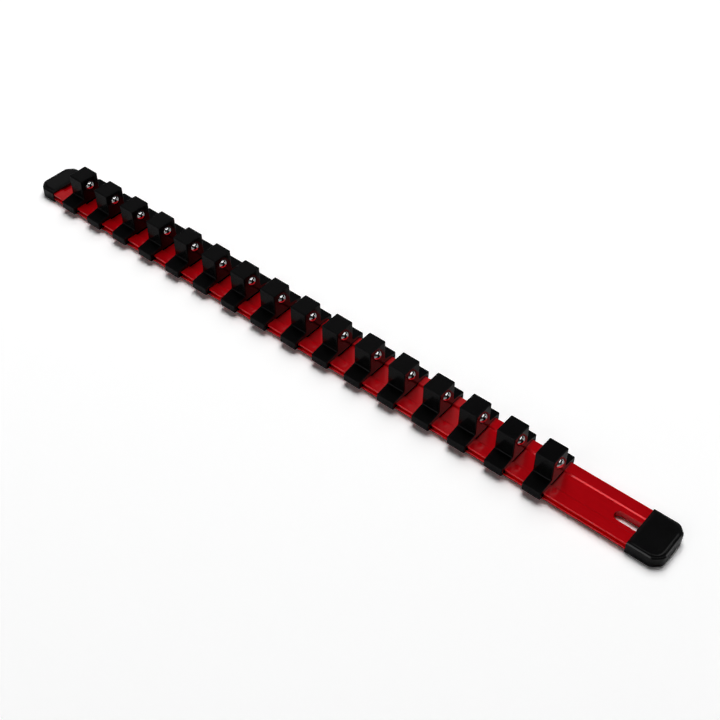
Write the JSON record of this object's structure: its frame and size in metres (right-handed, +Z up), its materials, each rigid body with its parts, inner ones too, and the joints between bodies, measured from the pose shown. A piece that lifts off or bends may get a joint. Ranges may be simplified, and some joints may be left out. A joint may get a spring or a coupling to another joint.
{
  "type": "socket rail",
  "caption": "Straight aluminium tool rail with push-on end caps, carrying sliding plastic clips whose square posts hold drive sockets on sprung balls.",
  "frame": {"origin": "centre of the footprint, on the surface that the two end caps stand on", "axes": "+X along the rail from its fully used end to the end with the hanging slot, +Z up along the posts, +Y across the rail"},
  "size_m": [0.447, 0.031, 0.0223],
  "materials": {
    "red_anodised_aluminium": "red anodised, semi-gloss, with a fine grain along the extrusion",
    "black_clip_plastic": "black moulded plastic, smooth and glossy",
    "black_cap_plastic": "black moulded plastic, glossy, softly crowned",
    "polished_ball_steel": "mirror-polished bearing steel",
    "spring_steel": "drawn spring wire"
  },
  "bodies": {
    "rail": {"rail": "red_anodised_aluminium", "end_cap_near": "black_cap_plastic", "end_cap_far": "black_cap_plastic"},
    "clip_01": {"clip_01": "black_clip_plastic", "spring_01": "spring_steel"},
    "ball_01": {"ball_01": "polished_ball_steel"},
    "clip_02": {"clip_02": "black_clip_plastic", "spring_02": "spring_steel"},
    "ball_02": {"ball_02": "polished_ball_steel"},
    "clip_03": {"clip_03": "black_clip_plastic", "spring_03": "spring_steel"},
    "ball_03": {"ball_03": "polished_ball_steel"},
    "clip_04": {"clip_04": "black_clip_plastic", "spring_04": "spring_steel"},
    "ball_04": {"ball_04": "polished_ball_steel"},
    "clip_05": {"clip_05": "black_clip_plastic", "spring_05": "spring_steel"},
    "ball_05": {"ball_05": "polished_ball_steel"},
    "clip_06": {"clip_06": "black_clip_plastic", "spring_06": "spring_steel"},
    "ball_06": {"ball_06": "polished_ball_steel"},
    "clip_07": {"clip_07": "black_clip_plastic", "spring_07": "spring_steel"},
    "ball_07": {"ball_07": "polished_ball_steel"},
    "clip_08": {"clip_08": "black_clip_plastic", "spring_08": "spring_steel"},
    "ball_08": {"ball_08": "polished_ball_steel"},
    "clip_09": {"clip_09": "black_clip_plastic", "spring_09": "spring_steel"},
    "ball_09": {"ball_09": "polished_ball_steel"},
    "clip_10": {"clip_10": "black_clip_plastic", "spring_10": "spring_steel"},
    "ball_10": {"ball_10": "polished_ball_steel"},
    "clip_11": {"clip_11": "black_clip_plastic", "spring_11": "spring_steel"},
    "ball_11": {"ball_11": "polished_ball_steel"},
    "clip_12": {"clip_12": "black_clip_plastic", "spring_12": "spring_steel"},
    "ball_12": {"ball_12": "polished_ball_steel"},
    "clip_13": {"clip_13": "black_clip_plastic", "spring_13": "spring_steel"},
    "ball_13": {"ball_13": "polished_ball_steel"},
    "clip_14": {"clip_14": "black_clip_plastic", "spring_14": "spring_steel"},
    "ball_14": {"ball_14": "polished_ball_steel"},
    "clip_15": {"clip_15": "black_clip_plastic", "spring_15": "spring_steel"},
    "ball_15": {"ball_15": "polished_ball_steel"},
    "clip_16": {"clip_16": "black_clip_plastic", "spring_16": "spring_steel"},
    "ball_16": {"ball_16": "polished_ball_steel"}
  },
  "joints": [
    {"name": "clip_01_slide", "type": "slide", "parent": "rail", "child": "clip_01", "axis": [1, 0, 0], "range_m": [-0.011, 0.0101]},
    {"name": "clip_02_slide", "type": "slide", "parent": "rail", "child": "clip_02", "axis": [1, 0, 0], "range_m": [-0.0101, 0.0101]},
    {"name": "clip_03_slide", "type": "slide", "parent": "rail", "child": "clip_03", "axis": [1, 0, 0], "range_m": [-0.0101, 0.0101]},
    {"name": "clip_04_slide", "type": "slide", "parent": "rail", "child": "clip_04", "axis": [1, 0, 0], "range_m": [-0.0101, 0.0101]},
    {"name": "clip_05_slide", "type": "slide", "parent": "rail", "child": "clip_05", "axis": [1, 0, 0], "range_m": [-0.0101, 0.0101]},
    {"name": "clip_06_slide", "type": "slide", "parent": "rail", "child": "clip_06", "axis": [1, 0, 0], "range_m": [-0.0101, 0.0101]},
    {"name": "clip_07_slide", "type": "slide", "parent": "rail", "child": "clip_07", "axis": [1, 0, 0], "range_m": [-0.0101, 0.0101]},
    {"name": "clip_08_slide", "type": "slide", "parent": "rail", "child": "clip_08", "axis": [1, 0, 0], "range_m": [-0.0101, 0.0101]},
    {"name": "clip_09_slide", "type": "slide", "parent": "rail", "child": "clip_09", "axis": [1, 0, 0], "range_m": [-0.0101, 0.0101]},
    {"name": "clip_10_slide", "type": "slide", "parent": "rail", "child": "clip_10", "axis": [1, 0, 0], "range_m": [-0.0101, 0.0101]},
    {"name": "clip_11_slide", "type": "slide", "parent": "rail", "child": "clip_11", "axis": [1, 0, 0], "range_m": [-0.0101, 0.0101]},
    {"name": "clip_12_slide", "type": "slide", "parent": "rail", "child": "clip_12", "axis": [1, 0, 0], "range_m": [-0.0101, 0.0101]},
    {"name": "clip_13_slide", "type": "slide", "parent": "rail", "child": "clip_13", "axis": [1, 0, 0], "range_m": [-0.0101, 0.0101]},
    {"name": "clip_14_slide", "type": "slide", "parent": "rail", "child": "clip_14", "axis": [1, 0, 0], "range_m": [-0.0101, 0.0101]},
    {"name": "clip_15_slide", "type": "slide", "parent": "rail", "child": "clip_15", "axis": [1, 0, 0], "range_m": [-0.0101, 0.0101]},
    {"name": "clip_16_slide", "type": "slide", "parent": "rail", "child": "clip_16", "axis": [1, 0, 0], "range_m": [-0.0101, 0.0462]},
    {"name": "ball_01_press", "type": "slide", "parent": "clip_01", "child": "ball_01", "axis": [-1, 0, 0], "range_m": [0, 0.0013], "stiffness_N_per_m": 1500, "springref_m": -0.001, "deforming": ["spring_01"]},
    {"name": "ball_02_press", "type": "slide", "parent": "clip_02", "child": "ball_02", "axis": [-1, 0, 0], "range_m": [0, 0.0013], "stiffness_N_per_m": 1500, "springref_m": -0.001, "deforming": ["spring_02"]},
    {"name": "ball_03_press", "type": "slide", "parent": "clip_03", "child": "ball_03", "axis": [-1, 0, 0], "range_m": [0, 0.0013], "stiffness_N_per_m": 1500, "springref_m": -0.001, "deforming": ["spring_03"]},
    {"name": "ball_04_press", "type": "slide", "parent": "clip_04", "child": "ball_04", "axis": [-1, 0, 0], "range_m": [0, 0.0013], "stiffness_N_per_m": 1500, "springref_m": -0.001, "deforming": ["spring_04"]},
    {"name": "ball_05_press", "type": "slide", "parent": "clip_05", "child": "ball_05", "axis": [-1, 0, 0], "range_m": [0, 0.0013], "stiffness_N_per_m": 1500, "springref_m": -0.001, "deforming": ["spring_05"]},
    {"name": "ball_06_press", "type": "slide", "parent": "clip_06", "child": "ball_06", "axis": [-1, 0, 0], "range_m": [0, 0.0013], "stiffness_N_per_m": 1500, "springref_m": -0.001, "deforming": ["spring_06"]},
    {"name": "ball_07_press", "type": "slide", "parent": "clip_07", "child": "ball_07", "axis": [-1, 0, 0], "range_m": [0, 0.0013], "stiffness_N_per_m": 1500, "springref_m": -0.001, "deforming": ["spring_07"]},
    {"name": "ball_08_press", "type": "slide", "parent": "clip_08", "child": "ball_08", "axis": [-1, 0, 0], "range_m": [0, 0.0013], "stiffness_N_per_m": 1500, "springref_m": -0.001, "deforming": ["spring_08"]},
    {"name": "ball_09_press", "type": "slide", "parent": "clip_09", "child": "ball_09", "axis": [-1, 0, 0], "range_m": [0, 0.0013], "stiffness_N_per_m": 1500, "springref_m": -0.001, "deforming": ["spring_09"]},
    {"name": "ball_10_press", "type": "slide", "parent": "clip_10", "child": "ball_10", "axis": [-1, 0, 0], "range_m": [0, 0.0013], "stiffness_N_per_m": 1500, "springref_m": -0.001, "deforming": ["spring_10"]},
    {"name": "ball_11_press", "type": "slide", "parent": "clip_11", "child": "ball_11", "axis": [-1, 0, 0], "range_m": [0, 0.0013], "stiffness_N_per_m": 1500, "springref_m": -0.001, "deforming": ["spring_11"]},
    {"name": "ball_12_press", "type": "slide", "parent": "clip_12", "child": "ball_12", "axis": [-1, 0, 0], "range_m": [0, 0.0013], "stiffness_N_per_m": 1500, "springref_m": -0.001, "deforming": ["spring_12"]},
    {"name": "ball_13_press", "type": "slide", "parent": "clip_13", "child": "ball_13", "axis": [-1, 0, 0], "range_m": [0, 0.0013], "stiffness_N_per_m": 1500, "springref_m": -0.001, "deforming": ["spring_13"]},
    {"name": "ball_14_press", "type": "slide", "parent": "clip_14", "child": "ball_14", "axis": [-1, 0, 0], "range_m": [0, 0.0013], "stiffness_N_per_m": 1500, "springref_m": -0.001, "deforming": ["spring_14"]},
    {"name": "ball_15_press", "type": "slide", "parent": "clip_15", "child": "ball_15", "axis": [-1, 0, 0], "range_m": [0, 0.0013], "stiffness_N_per_m": 1500, "springref_m": -0.001, "deforming": ["spring_15"]},
    {"name": "ball_16_press", "type": "slide", "parent": "clip_16", "child": "ball_16", "axis": [-1, 0, 0], "range_m": [0, 0.0013], "stiffness_N_per_m": 1500, "springref_m": -0.001, "deforming": ["spring_16"]}
  ]
}
